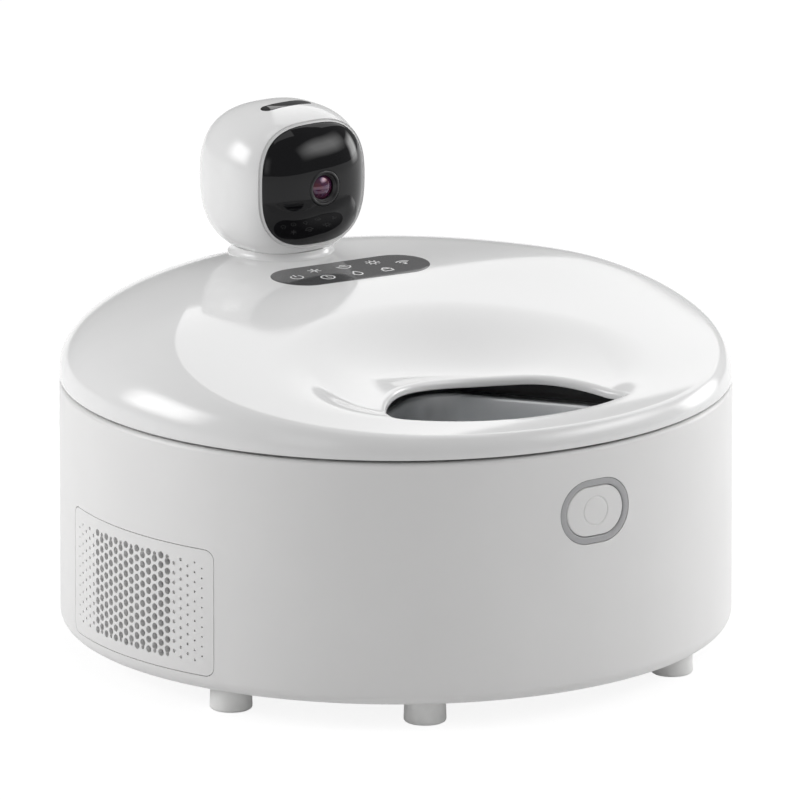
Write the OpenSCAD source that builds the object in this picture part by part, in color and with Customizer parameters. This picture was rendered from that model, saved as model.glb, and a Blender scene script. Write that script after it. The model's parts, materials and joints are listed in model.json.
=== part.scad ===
// Refrigerated wet food feeder for pets, in millimetres, +Z up.
// The origin is on the floor under the middle of the round housing; the front looks towards -Y.

/* [Housing] */
// Outer radius of the round housing and of the lid
body_r = 170; // [166:1:176]
// Height of the housing from its underside to the lid seam
body_h = 126; // [122:1:132]
// Height of the feet under the housing
foot_h = 12; // [9:0.5:15]
// Radius of one foot
foot_r = 10.8; // [9:0.1:12]
// Wall of the moulded shells
wall = 3; // [2.6:0.1:3.4]
// Radius of the rounded lower edge of the housing
bottom_round = 7.5; // [5:0.5:9]
// Radius of the rounded upper edge of the housing
rim_round = 2.5; // [1.5:0.1:2.8]
// Open reveal between the housing and the lid
seam_gap = 1.4; // [1:0.1:2]

/* [Vent] */
// Turn of the vent from the front towards -X
vent_turn = 88; // [84:1:92]
// Width of the vent panel along the wall
vent_w = 114; // [104:1:120]
// Height of the vent panel
vent_h = 65; // [62:1:67]
// Diameter of a vent hole
hole_d = 3.7; // [3:0.1:4]
// Columns of through holes
hole_columns = 14; // [10:1:14]
// Holes in a full column
hole_rows = 11; // [9:1:11]
// Columns of blind dimples on each side of the holes
dimple_columns = 5; // [3:1:5]

/* [Lid] */
// Turn of the serving side from the front, towards -X
serve_turn = 9.5; // [6:0.5:13]
// Height of the front lip over the seam
lip_h = 12; // [11:0.5:13]
// Height of the flat rear top over the seam
top_h = 46.3; // [45:0.1:48]
// Thickness of the lid skin
skin = 3.4; // [3:0.1:3.6]
// Radius of the round feeding opening
opening_r = 65; // [60:1:68]

/* [Camera] */
// Width of the camera head
head_w = 77.6; // [72:0.2:82]
// Depth of the camera head
head_d = 76.4; // [70:0.2:80]
// Height of the camera head over its widest level
head_up = 37.4; // [35:0.2:40]
// Depth of the rounded underside below the widest level
head_down = 41.3; // [39:0.1:43]
// Squareness of the rounded head
head_power = 2.6; // [2.4:0.1:3.2]
// Radius of the neck under the head
neck_r = 26; // [24:0.5:27]

/* [Tray] */
// Half thickness of a divider between two places
divider_half = 6; // [5:0.5:7]
// Depth of a food bowl
bowl_depth = 49; // [42:1:52]
// Sheet thickness of a bowl
bowl_wall = 1; // [0.8:0.1:1.4]

/* [Drive] */
// Tooth size of the drive gears
gear_module = 1.5; // [1.4:0.05:1.6]
// Teeth of the tray gear
gear_teeth = 54; // [50:1:56]
// Teeth of the motor pinion
pinion_teeth = 18; // [16:1:20]

/* [Hidden] */
$fn = 96;
eps = 0.01;
fit = 0.3;
run_fit = 0.06;
big = 400;

white = [0.9, 0.9, 0.89];
satin = [0.86, 0.86, 0.86];
grey = [0.62, 0.62, 0.63];
dark = [0.12, 0.12, 0.13];
steel = [0.72, 0.73, 0.75];
green = [0.1, 0.35, 0.2];
foam = [0.8, 0.8, 0.78];

// Levels of the housing
z_under = foot_h;
z_seam = z_under + body_h;
z_lid = z_seam + seam_gap;
floor_t = 4;
z_floor = z_under + floor_t;
z_well = z_seam - 72;
well_t = 2.5;
well_r = body_r - 32;
rim_w = 6;
tray_r = well_r - 2.5;
tray_top = z_seam + 4.4;

// Underside: feet, cover plate and its screws, angles counted from the front
foot_angles = [-149.5, -69, -30.5, 30.5, 69, 149.5];
foot_dist = body_r - 18.5;
stem_r = 4;
cover_r = body_r - 36;
cover_t = 2.2;
screw_angles = [0:60:300];
screw_dist = cover_r - 4.5;
screw_r = 1.5;
screw_head_r = 3;
screw_head_h = 1.2;
screw_l = 8;
boss_r = 4.5;
inlet_z = z_floor + 16;
inlet_r = 5.5;

// Lid form: the crest runs between the sloping band and the top
crest_rear = body_r * 0.597;
crest_front = body_r * 0.967;
slope = 0.21;
knee_y = 22;
side_drop = 6;
side_r = body_r * 0.882;
scoop_dist = body_r * 0.794;
scoop_floor = lip_h - 2;
scoop_rise = 4;
scoop_rise_l = 60;
scoop_blend = 62;
lip_inner = body_r * 0.84;
lid_steps = 72;
serve = polar(scoop_dist, -serve_turn);

// Inside of the lid: liner, its screw posts and the seal, and the control panel on top
liner_t = 2;
liner_wall_r = well_r + 2;
liner_roof = tray_top + 1;
skirt_t = 2;
lid_posts = [for (a = [-160, -110, -62, 62, 110, 160]) polar(body_r - 15, a)];
panel_w = 88;
panel_h = 34;
panel_x = 3;
panel_y = body_r - 126.5;
panel_turn = -6;
panel_t = 1.2;
panel_top = z_seam + lid_top(panel_x, panel_y) - 0.1;
panel_board_z = z_seam + top_h - 10;
panel_post_x = 30;

// Hinge at the rear of the lid
hinge_y = body_r - 9;
hinge_z = z_seam + 13;
hinge_r = 5;
hinge_pin_r = 2.5;
notch_top = hinge_z + 8;
ear_half = 36;
ear_w = 12;
notch_y = hinge_y - 9;

// Release button
button_z = z_seam - 33;
bezel_w = 42;
bezel_h = 33;
bezel_t = 3.5;
button_clear = 7;
button_depth = 40;
button_travel = 2.5;
hook_half = 6;
hook_y = -(body_r - 12.4);
hook_t = 3;
hook_rise = 6;
nose_h = 2.5;
nose_l = 2.8;
catch_y = hook_y - 3.2;
catch_half = 8;

// Camera head
head_y = body_r - 71;
collar_top = z_seam + top_h + 3.6;
head_z = collar_top + 35.8;
head_bottom = collar_top + 0.4;
head_t = 3;
face_w = 63.2;
face_h = 62;
face_power = 2.78;
face_rise = 0.4;
face_t = 2.5;
pivot_r = 12;
lens_r = 9.2;
glass_r = 6.2;
lens_front = head_y - head_d / 2;
camera_back = head_y - 6.5;
board_t = 1.6;
bar_w = 30;
bar_h = 8;
bar_t = 1.2;
bar_bend = 91;
bar_y = head_y - 4;
pivot_low = z_seam + top_h - 12;

// Tray
tray_bottom = z_well + well_t + 3.5;
ledge_z = tray_top - 8;
apex_round = 30;
outer_round = 14;
flange_w = 10;
spindle_r = 8;
hub_r = 10;
hub_h = 34;
hub_out = 24;
hub_flange_r = 20;
key_half = 14;
key_t = 5;
key_h = 20;
rib_t = 4;
gear_hole_dist = 24;
gear_hole_r = 7;

// Drive under the well
gear_z = z_well - 13;
gear_h = 7;
gear_pitch = gear_module * gear_teeth / 2;
pinion_pitch = gear_module * pinion_teeth / 2;
gear_gap = gear_pitch + pinion_pitch + 0.1;
motor_r = 18;
motor_z = z_under + 12;
motor_h = gear_z - motor_z - 7;
shaft_r = 3;
shaft_l = gear_z - motor_z - 12;
bush_r = 12;
main_z = z_under + 12;
main_w = 84;
main_d = 36;
main_edge = 6;
main_y = (gear_gap + motor_r + cover_r - main_d) / 2;

// Cooling under and beside the well
plate_w = 60;
peltier_w = 40;
peltier_t = 3.8;
plate_t = 8;
sink_w = 80;
sink_t = 5;
pad_t = 2.5;
fin_h = z_well - plate_t - peltier_t - pad_t - sink_t - z_under - 12.7;
fin_t = 1.6;
foam_t = 14;
foam_r = body_r - 14;
foam_clear = 6;
fan_w = 60;
fan_t = 15;
fan_x = -(body_r - 20.5);
sink_gap = 7;
fan_clear = 7;
cool_x = fan_x + fan_t / 2 + sink_gap + sink_w / 2;
filter_t = 1.6;
vent_z = z_under + 8.5 + vent_h / 2;

// Place on a circle, with the angle counted from the front towards +X
function polar(r, a) = [r * sin(a), -r * cos(a)];
function blend(t) = let (s = min(max(t, 0), 1)) s * s * (3 - 2 * s);
function sigmoid(t) = 1 / (1 + exp(-t));
function from_front(a) = abs(a > 180 ? a - 360 : a);

// Lid surface over the seam: flat rear, front slope, falling sides, serving scoop, crest and round band
function soft_max(t, k) = k * ln(1 + exp(t / k));
function dome(x, y) =
  lip_h + soft_max(top_h - lip_h - slope * soft_max(knee_y - y, 8) - side_drop * pow(x / side_r, 4), 2);
function scoop_share(x, y) =
  (1 - blend((norm([x, y] - serve) - opening_r - 1) / scoop_blend))
  * (1 - blend((norm([x, y]) - lip_inner + 6) / 12));
function scoop_h(x, y) = scoop_floor + scoop_rise * blend((lip_inner - norm([x, y])) / scoop_rise_l);
function lid_top(x, y) = let (d = dome(x, y)) d - (d - scoop_h(x, y)) * scoop_share(x, y);
function crest_r(a) = crest_rear + (crest_front - crest_rear) * sigmoid((92 - from_front(a)) / 10.5);
function lid_at(r, a) = let (p = polar(r, a)) lid_top(p[0], p[1]);
function band_h(s, a) = lid_at(crest_r(a), a) * (0.14 + 0.86 * sqrt(1 - pow(s, 1.5)));

// One column of lid points from the middle to the lower rim, [radius, height over the seam]
function lid_column(a, rings, bands) = concat(
  [for (i = [1:rings]) let (r = crest_r(a) * i / rings) [r, lid_at(r, a)]],
  [for (i = [1:bands]) let (s = sin(90 * i / bands)) [crest_r(a) + (body_r - crest_r(a)) * s, band_h(s, a)]]
);

// Closed solid under the lid surface, sunk and narrowed by the skin for the hollow
module lid_solid(rings, bands, sink, low) {
  rows = rings + bands + 1;
  narrow = (body_r - sink) / body_r;
  columns = [for (j = [0:lid_steps - 1])
    let (a = j * 360 / lid_steps, c = lid_column(a, rings, bands))
    concat(
      [for (q = c) let (p = polar(q[0] * narrow, a)) [p[0], p[1], z_seam + q[1] - sink]],
      [let (p = polar(body_r * narrow, a)) [p[0], p[1], low]]
    )];
  points = concat([for (c = columns) each c], [[0, 0, z_seam + lid_top(0, 0) - sink], [0, 0, low]]);
  crown = rows * lid_steps;
  faces = [for (j = [0:lid_steps - 1])
    let (m = j * rows, n = ((j + 1) % lid_steps) * rows)
    each concat(
      [[crown, n, m], [crown + 1, m + rows - 1, n + rows - 1]],
      [for (i = [0:rows - 2]) each [[m + i, n + i, n + i + 1], [m + i, n + i + 1, m + i + 1]]]
    )];
  polyhedron(points, faces, convexity = 6);
}

// Rounded block of the camera head, shrunk by a margin for the hollow
module head_solid(margin, lon, lat) {
  half = [head_w / 2 - margin, head_d / 2 - margin, head_up - margin, head_down - margin];
  ball = function(u, v)
    let (d = [cos(v) * cos(u), cos(v) * sin(u), sin(v)], high = v > 0 ? half[2] : half[3])
    d / pow(pow(abs(d[0]) / half[0], head_power) + pow(abs(d[1]) / half[1], head_power)
      + pow(abs(d[2]) / high, head_power), 1 / head_power);
  rows = [for (i = [1:lat - 1]) for (j = [0:lon - 1]) ball(j * 360 / lon, -90 + i * 180 / lat)];
  points = concat(rows, [[0, 0, -half[3]], [0, 0, half[2]]]);
  south = len(rows);
  last = (lat - 2) * lon;
  faces = concat(
    [for (j = [0:lon - 1]) let (k = (j + 1) % lon) each [[south, j, k], [south + 1, last + k, last + j]]],
    [for (i = [0:lat - 3]) for (j = [0:lon - 1])
      let (k = (j + 1) % lon, m = i * lon)
      each [[m + j, m + lon + j, m + lon + k], [m + j, m + lon + k, m + k]]]
  );
  translate([0, head_y, head_z]) polyhedron(points, faces, convexity = 4);
}

// Children on a circle about the middle, at angles counted from the front
module around(angles, r, z) {
  for (a = angles) translate([polar(r, a)[0], polar(r, a)[1], z]) children();
}

module pill(w, h) {
  square([w - h, h], center = true);
  for (side = [-1, 1]) translate([side * (w - h) / 2, 0]) circle(d = h);
}

module rounded(w, h, r) {
  square([w - 2 * r, h], center = true);
  square([w, h - 2 * r], center = true);
  for (x = [-1, 1]) for (y = [-1, 1]) translate([x * (w / 2 - r), y * (h / 2 - r)]) circle(r = r);
}

module tube(r_out, r_in, h) {
  difference() {
    cylinder(r = r_out, h = h);
    translate([0, 0, -1]) cylinder(r = r_in, h = h + 2);
  }
}

// Outline standing in the front plane, drawn from y1 forward to y0
module along_y(y0, y1, z) {
  translate([0, y1, z]) rotate([90, 0, 0]) linear_extrude(y1 - y0) children();
}

// Outline standing in the left plane, drawn from x1 outward to x0
module along_x(x0, x1, z) {
  translate([x1, 0, z]) rotate([90, 0, -90]) linear_extrude(x1 - x0) children();
}

// Place of the tray: a quarter with a round point and round outer corners, inset by a margin
module place(margin) {
  r = tray_r - 5 - margin;
  w = divider_half + margin;
  big_round = apex_round - margin * 0.5;
  f = outer_round - margin * 0.4;
  tip = [sqrt(pow(r - f, 2) - pow(w + f, 2)), w + f];
  difference() {
    intersection() {
      circle(r = r);
      union() {
        translate([w + big_round, w + big_round]) circle(r = big_round);
        translate([w + big_round, w]) square([r, r]);
        translate([w, w + big_round]) square([r, r]);
      }
    }
    polygon([tip, [tip[0], 0], [2 * r, 0], 2 * tip]);
    polygon([[tip[1], tip[0]], [0, tip[0]], [0, 2 * r], 2 * [tip[1], tip[0]]]);
  }
  translate(tip) circle(r = f);
  translate([tip[1], tip[0]]) circle(r = f);
}

// Involute outline of a gear with a little backlash
module gear_outline(teeth) {
  pitch = gear_module * teeth / 2;
  base = pitch * cos(20);
  tip = pitch + gear_module;
  root = pitch - 1.25 * gear_module;
  inv = function(c) tan(c) * 180 / PI - c;
  half = function(r) 90 / teeth + inv(20) - inv(acos(min(base / r, 1))) - 0.12 / pitch * 180 / PI;
  start = max(base, root + 0.2);
  flank = concat(
    [[root, half(start)]],
    [for (i = [0:4]) let (r = start + (tip - start) * i / 4) [r, half(r)]]
  );
  polygon([for (k = [0:teeth - 1]) let (a = k * 360 / teeth) each concat(
    [for (q = flank) q[0] * [cos(a - q[1]), sin(a - q[1])]],
    [for (i = [len(flank) - 1:-1:0]) let (q = flank[i]) q[0] * [cos(a + q[1]), sin(a + q[1])]]
  )]);
}

module body_profile() {
  arc_n = 10;
  inner = body_r - wall;
  polygon(concat(
    [[cover_r - 8, z_under]],
    [for (i = [0:arc_n]) let (t = 90 * i / arc_n)
      [body_r - bottom_round + bottom_round * sin(t), z_under + bottom_round - bottom_round * cos(t)]],
    [for (i = [0:arc_n]) let (t = 90 * i / arc_n)
      [body_r - rim_round + rim_round * cos(t), z_seam - rim_round + rim_round * sin(t)]],
    [[body_r - rim_w, z_seam], [body_r - rim_w, z_seam - wall], [body_r - rim_w - 8, z_seam - wall],
     [body_r - rim_w - 8, z_seam - 2 * wall], [inner - 2, z_seam - 2 * wall], [inner, z_seam - 2 * wall - 4],
     [inner, z_floor + 3], [inner - 3, z_floor], [cover_r - 8, z_floor]]
  ));
}

module body_shell() color(satin) difference() {
  union() {
    rotate_extrude() body_profile();
    translate([fan_x - fan_t / 2, -fan_w / 2, z_floor - 1])
      cube([fan_t, fan_w, vent_z - fan_w / 2 - z_floor + 1]);
    around(screw_angles, screw_dist, z_floor - 1) cylinder(r = boss_r, h = screw_l + 1);
  }
  translate([0, 0, z_under - 1]) cylinder(r = cover_r + fit, h = cover_t + 1);
  around(screw_angles, screw_dist, z_under) cylinder(r = screw_r + run_fit, h = screw_l + cover_t + fit);
  around(foot_angles, foot_dist, z_under - 1) cylinder(r = stem_r + run_fit, h = floor_t + 6);
  intersection() {
    translate([0, 0, z_under]) tube(body_r + 1, body_r - wall - 1, body_h);
    rotate(90 - vent_turn) along_x(-body_r - 5, -body_r + 30, vent_z)
      rounded(vent_w + 0.8, vent_h + 0.8, 5.4);
  }
  along_y(-body_r - 5, -body_r + 30, button_z) pill(bezel_w + 0.4, bezel_h + 0.4);
  along_y(body_r - 30, body_r + 5, inlet_z) circle(r = inlet_r + fit);
  hook_slot();
}

// Slot for the latch hook in the rim of the housing and of the well
module hook_slot() {
  translate([-hook_half - 1, hook_y - 1, z_seam - 10])
    cube([2 * hook_half + 2, hook_t + button_travel + 2, 20]);
}

module vent_grille() color(satin) rotate(90 - vent_turn) {
  row_step = 5.05;
  column_step = 1.5;
  difference() {
    intersection() {
      translate([0, 0, z_under]) tube(body_r, body_r - wall, body_h);
      along_x(-body_r - 5, -body_r + 30, vent_z) rounded(vent_w, vent_h, 5);
    }
    for (c = [0:hole_columns - 1]) {
      odd = c % 2;
      for (r = [0:hole_rows - 1 - odd]) vent_hole(
        (c - (hole_columns - 1) / 2) * column_step, (r - (hole_rows - 1 - odd) / 2) * row_step,
        hole_d, body_r - 20);
      if (odd == 1) for (end = [-1, 1]) vent_hole(
        (c - (hole_columns - 1) / 2) * column_step, end * (hole_rows - 1) / 2 * row_step,
        hole_d * 0.6, body_r - 20);
    }
    for (side = [-1, 1]) for (c = [1:dimple_columns]) {
      odd = c % 2;
      for (r = [0:hole_rows - 1 - odd]) vent_hole(
        side * ((hole_columns - 1) / 2 + c) * column_step, (r - (hole_rows - 1 - odd) / 2) * row_step,
        hole_d * (0.62 - 0.07 * c), body_r - 1.2);
    }
  }
}

// Mesh sheet against dust, close behind the vent holes
module dust_filter() color(grey) rotate(90 - vent_turn) intersection() {
  translate([0, 0, z_under]) tube(body_r - wall - 0.1, body_r - wall - filter_t, body_h);
  along_x(-body_r, -body_r + 30, vent_z) rounded(vent_w - 4, vent_h - 4, 4);
}

// One radial hole of the vent, from a radius outward
module vent_hole(turn, rise, d, from_r) {
  rotate([0, 0, turn]) translate([-from_r, 0, vent_z + rise]) rotate([0, -90, 0])
    cylinder(d = d, h = body_r + 2 - from_r, $fn = 24);
}

module base_plate() color(satin) difference() {
  union() {
    translate([0, 0, z_under]) cylinder(r = cover_r, h = cover_t);
    translate([0, gear_gap, z_under + 1]) cylinder(r = motor_r - 2, h = motor_z - z_under - 1);
    for (side = [-1, 1]) for (y = [main_edge, main_d - main_edge])
      translate([side * (main_w / 2 - main_edge), main_y + y, z_under + 1])
        cylinder(r = 3.5, h = main_z - z_under - 1);
  }
  around(screw_angles, screw_dist, z_under - 1) {
    cylinder(r = screw_r + run_fit, h = cover_t + 2);
    cylinder(r = screw_head_r + run_fit, h = screw_head_h + 1);
  }
  for (i = [-4:4]) translate([cool_x + i * 7.5, 0, z_under - 1]) linear_extrude(5) rotate(90) pill(56, 3.6);
}

// Cross-slot screw standing on its head
module screw(l) {
  difference() {
    cylinder(r = screw_head_r, h = screw_head_h);
    translate([-2, -0.4, -1]) cube([4, 0.8, 1.6]);
    translate([-0.4, -2, -1]) cube([0.8, 4, 1.6]);
  }
  translate([0, 0, screw_head_h - eps]) cylinder(r = screw_r, h = l);
}

module base_screws() color(grey) around(screw_angles, screw_dist, z_under) screw(screw_l);

module feet() color(grey) around(foot_angles, foot_dist, 0) {
  edge = 1.5;
  rotate_extrude() polygon(concat(
    [[0, 0]],
    [for (i = [0:4]) let (t = 90 * i / 4) [foot_r - edge + edge * sin(t), edge - edge * cos(t)]],
    [[foot_r - 0.4, foot_h], [stem_r, foot_h], [stem_r, foot_h + floor_t], [0, foot_h + floor_t]]
  ));
}

module cold_well() color(steel) difference() {
  outer = well_r + well_t;
  rim = body_r - rim_w - fit;
  rotate_extrude() polygon([
    [bush_r, z_well], [outer, z_well], [outer, z_seam - wall], [rim, z_seam - wall],
    [rim, z_seam], [well_r, z_seam], [well_r, z_well + well_t], [bush_r, z_well + well_t]
  ]);
  hook_slot();
}

module foam_wall() color(foam) difference() {
  low = z_well - fit;
  translate([0, 0, low]) tube(foam_r, well_r + well_t + fit, z_seam - 2 * wall - 1 - low);
  translate([-bezel_w / 2 - button_clear, -body_r, button_z - bezel_h / 2 - button_clear])
    cube([bezel_w + 2 * button_clear, button_depth, big]);
  fan_space();
}

module foam_floor() color(foam) difference() {
  translate([0, 0, z_well - foam_t]) cylinder(r = foam_r, h = foam_t - fit);
  translate([0, 0, z_well - big / 2]) {
    cylinder(r = gear_pitch + foam_clear, h = big);
    translate([0, gear_gap, 0]) cylinder(r = pinion_pitch + foam_clear, h = big);
    translate([cool_x - plate_w / 2 - 1, -plate_w / 2 - 1, 0]) cube([plate_w + 2, plate_w + 2, big]);
  }
  fan_space();
}

// Space for the fan in the foam
module fan_space() {
  translate([-body_r, -fan_w / 2 - 2, 0])
    cube([body_r + fan_x + fan_t / 2 + 1, fan_w + 4, vent_z + fan_w / 2 + fan_clear]);
}

module cold_plate() color(steel)
  translate([cool_x - plate_w / 2, -plate_w / 2, z_well - plate_t]) cube([plate_w, plate_w, plate_t]);

module peltier_module() color(white)
  translate([cool_x - peltier_w / 2, -peltier_w / 2, z_well - plate_t - peltier_t])
    cube([peltier_w, peltier_w, peltier_t]);

module heat_sink() color(steel) {
  top = z_well - plate_t - peltier_t - pad_t;
  fins = 16;
  translate([cool_x - sink_w / 2, -sink_w / 2, top - sink_t]) cube([sink_w, sink_w, sink_t]);
  translate([cool_x - peltier_w / 2, -peltier_w / 2, top - eps]) cube([peltier_w, peltier_w, pad_t + eps]);
  for (i = [0:fins - 1])
    translate([cool_x - sink_w / 2, -sink_w / 2 + i * (sink_w - fin_t) / (fins - 1), top - sink_t - fin_h])
      cube([sink_w, fin_t, fin_h + eps]);
}

module fan_frame() color(dark) {
  difference() {
    along_x(fan_x - fan_t / 2, fan_x + fan_t / 2, vent_z) rounded(fan_w, fan_w, 4);
    along_x(fan_x - fan_t / 2 - 1, fan_x + fan_t / 2 - 2.5, vent_z) circle(r = fan_w / 2 - 1.5);
    along_x(fan_x - fan_t, fan_x + fan_t, vent_z) difference() {
      circle(r = fan_w / 2 - 1.5);
      circle(r = 12.5);
      for (a = [45:90:315]) rotate(a) translate([0, -1.5]) square([fan_w, 3]);
    }
  }
  along_x(fan_x - 3, fan_x + fan_t / 2 - 2, vent_z) circle(r = 2);
}

module fan_rotor() color(dark) {
  low = fan_x - fan_t / 2 + 1.5;
  high = fan_x + fan_t / 2 - 3.2;
  difference() {
    union() {
      along_x(low, high, vent_z) circle(r = 12);
      intersection() {
        along_x(low, high, vent_z) circle(r = fan_w / 2 - 2.2);
        for (i = [0:6]) translate([(low + high) / 2, 0, vent_z]) rotate([i * 360 / 7, 0, 0])
          translate([0, 0, 20]) rotate([0, 0, 35]) cube([big, 1.4, 20], center = true);
      }
    }
    along_x(fan_x - 3.4, big, vent_z) circle(r = 2 + run_fit);
  }
}

module drive_motor() color(grey) difference() {
  translate([0, gear_gap, motor_z]) {
    cylinder(r = motor_r, h = motor_h);
    cylinder(r = 2 * shaft_r, h = motor_h + 4);
  }
  translate([0, gear_gap, gear_z - shaft_l - 1]) cylinder(r = shaft_r + run_fit, h = big);
}

module drive_pinion() color(white) translate([0, gear_gap, 0]) {
  translate([0, 0, gear_z]) linear_extrude(gear_h) rotate(-90) gear_outline(pinion_teeth);
  translate([0, 0, gear_z - shaft_l]) cylinder(r = shaft_r, h = shaft_l + eps);
}

module bearing_bush() color(white) difference() {
  union() {
    translate([0, 0, z_well - 2]) cylinder(r = bush_r, h = well_t + 2);
    translate([0, 0, z_well - 2]) cylinder(r = bush_r + 4, h = 2);
  }
  translate([0, 0, z_well - well_t - 1]) cylinder(r = spindle_r + run_fit, h = 4 * well_t);
}

module spindle() color(steel) {
  top = z_well + well_t + fit;
  translate([0, 0, gear_z]) cylinder(r = spindle_r, h = top - gear_z + 1);
  translate([0, 0, top]) cylinder(r = hub_flange_r, h = tray_bottom - top);
  translate([0, 0, top]) cylinder(r = hub_r, h = hub_h);
  translate([-key_half, -key_t / 2, top]) cube([2 * key_half, key_t, key_h]);
}

module tray_gear() color(white) translate([0, 0, gear_z]) difference() {
  linear_extrude(gear_h) rotate(90 + 180 / gear_teeth) gear_outline(gear_teeth);
  translate([0, 0, -1]) cylinder(r = spindle_r, h = gear_h + 2);
  for (a = [0:60:300]) rotate(a) translate([gear_hole_dist, 0, -1])
    cylinder(r = gear_hole_r, h = gear_h + 2);
}

// Deck with four places, a hub for the spindle and ribs under the dividers
module tray_carousel() color(dark) rotate(-serve_turn - 135) difference() {
  deck = ledge_z - wall;
  union() {
    translate([0, 0, deck]) cylinder(r = tray_r, h = tray_top - deck);
    translate([0, 0, tray_bottom]) cylinder(r = hub_out, h = tray_top - tray_bottom);
    for (a = [0:90:270]) rotate(a) translate([0, -rib_t / 2, tray_bottom])
      cube([tray_r - 2 * wall, rib_t, tray_top - tray_bottom]);
  }
  for (a = [0:90:270]) rotate(a) {
    translate([0, 0, ledge_z]) linear_extrude(big) place(0);
    translate([0, 0, z_well]) linear_extrude(big) place(flange_w - 2);
  }
  translate([0, 0, z_well]) cylinder(r = hub_r + run_fit, h = well_t + hub_h + 2);
  rotate(serve_turn + 135) translate([-key_half - 0.1, -key_t / 2 - 0.1, z_well])
    cube([2 * key_half + 0.2, key_t + 0.2, well_t + key_h + 2]);
}

// Bowl in one place of the tray: flat flange and a deep drawn basin with a round lower edge
module bowl(turn) color(steel) rotate(turn - serve_turn - 135) difference() {
  union() {
    translate([0, 0, ledge_z]) linear_extrude(bowl_wall) place(0.6);
    basin(0, ledge_z + bowl_wall);
  }
  basin(bowl_wall, ledge_z + bowl_wall + 2);
}

module basin(inset, top) {
  low = ledge_z - bowl_depth + inset;
  hull() {
    translate([0, 0, top - 1]) linear_extrude(1) place(flange_w + inset, $fn = 48);
    translate([0, 0, low + 10]) linear_extrude(1) place(flange_w + 3 + inset, $fn = 48);
    translate([0, 0, low + 3]) linear_extrude(1) place(flange_w + 6 + inset, $fn = 48);
    translate([0, 0, low]) linear_extrude(1) place(flange_w + 13 + inset, $fn = 48);
  }
}

module bowl_1() bowl(0);
module bowl_2() bowl(90);
module bowl_3() bowl(-90);

module closing_plate() color(dark) rotate(180 - serve_turn - 135) difference() {
  translate([0, 0, ledge_z]) linear_extrude(tray_top - ledge_z) place(0.6);
  translate([0, 0, ledge_z - 1]) linear_extrude(tray_top - ledge_z - 1.5) place(6);
}

module main_board() color(green) {
  translate([-main_w / 2, main_y, main_z]) cube([main_w, main_d, board_t]);
  translate([-12, main_y + 10, main_z + board_t - eps]) cube([18, 18, 2]);
  for (x = [-34, 22]) translate([x, main_y + 22, main_z + board_t - eps]) cube([12, 8, 7]);
}

module dc_inlet() color(dark) difference() {
  union() {
    translate([-6, body_r - wall - 14, inlet_z - 6]) cube([12, 13.6, 12]);
    along_y(body_r - wall - 1, body_r - 0.4, inlet_z) circle(r = inlet_r);
  }
  along_y(body_r - 12, body_r + 5, inlet_z) difference() {
    circle(r = 3.2);
    circle(r = 1);
  }
}

module button_bezel() color(grey) difference() {
  union() {
    intersection() {
      translate([0, 0, z_under]) cylinder(r = body_r, h = body_h);
      along_y(-body_r - 2, -body_r + 10, button_z) pill(bezel_w, bezel_h);
    }
    along_y(-body_r + 5, -body_r + 8, button_z) pill(bezel_w + 5, bezel_h + 5);
  }
  along_y(-body_r - 5, -body_r + 20, button_z) pill(bezel_w - 2 * bezel_t, bezel_h - 2 * bezel_t);
}

module release_button() color(satin) {
  difference() {
    intersection() {
      translate([0, 0, z_under]) cylinder(r = body_r - 0.4, h = body_h);
      along_y(-body_r - 2, hook_y - 2, button_z)
        pill(bezel_w - 2 * bezel_t - 2 * fit, bezel_h - 2 * bezel_t - 2 * fit);
    }
    intersection() {
      translate([0, 0, z_under]) tube(body_r + 1, body_r - 0.8, body_h);
      along_y(-body_r - 2, -body_r + 10, button_z) difference() {
        circle(r = 7.6);
        circle(r = 7);
      }
    }
  }
  along_y(hook_y - 2 - eps, hook_y, button_z) pill(bezel_w - 4, bezel_h - 4);
}

module latch_hook() color(white) {
  translate([-hook_half, hook_y, button_z - 10])
    cube([2 * hook_half, hook_t, z_seam + hook_rise - button_z + 10]);
  translate([-hook_half, hook_y - nose_l, z_seam + hook_rise - nose_h])
    cube([2 * hook_half, nose_l + eps, nose_h]);
}

module hinge_bracket() color(satin) difference() {
  union() {
    translate([-ear_half, notch_y + 3.5, z_seam]) cube([2 * ear_half, 10, 3]);
    for (side = [-1, 1]) translate([side * (ear_half - ear_w / 2), 0, 0]) {
      translate([-ear_w / 2, hinge_y - hinge_r, z_seam]) cube([ear_w, 2 * hinge_r, hinge_z - z_seam]);
      translate([-ear_w / 2, hinge_y, hinge_z]) rotate([0, 90, 0]) cylinder(r = hinge_r, h = ear_w);
    }
  }
  translate([-big / 2, hinge_y, hinge_z]) rotate([0, 90, 0]) cylinder(r = hinge_pin_r, h = big);
}

module hinge_pin() color(steel)
  translate([-ear_half, hinge_y, hinge_z]) rotate([0, 90, 0]) cylinder(r = hinge_pin_r, h = 2 * ear_half);

module lid_knuckle() color(satin) difference() {
  half = ear_half - ear_w - 0.4;
  union() {
    translate([-half, notch_y, hinge_z - hinge_r]) cube([2 * half, hinge_y - notch_y, 2 * hinge_r]);
    translate([-half, hinge_y, hinge_z]) rotate([0, 90, 0]) cylinder(r = hinge_r, h = 2 * half);
  }
  translate([-big / 2, hinge_y, hinge_z]) rotate([0, 90, 0]) cylinder(r = hinge_pin_r + run_fit, h = big);
}

// Low collar of the lid that rises to the neck of the camera head
module collar() {
  spread = 1.5;
  start = z_seam + top_h - 0.4;
  translate([0, head_y, 0]) rotate_extrude() polygon(concat(
    [[0, start - 9], [neck_r + spread, start - 9]],
    [for (i = [0:8]) let (t = i / 8) [neck_r + spread * pow(1 - t, 2.2), start + (collar_top - start) * t]],
    [[0, collar_top]]
  ));
}

// Outline of the feeding opening: the round scoop, stopped by the front lip
module opening_outline() {
  intersection() {
    translate(serve) circle(r = opening_r);
    circle(r = lip_inner);
  }
}

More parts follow.
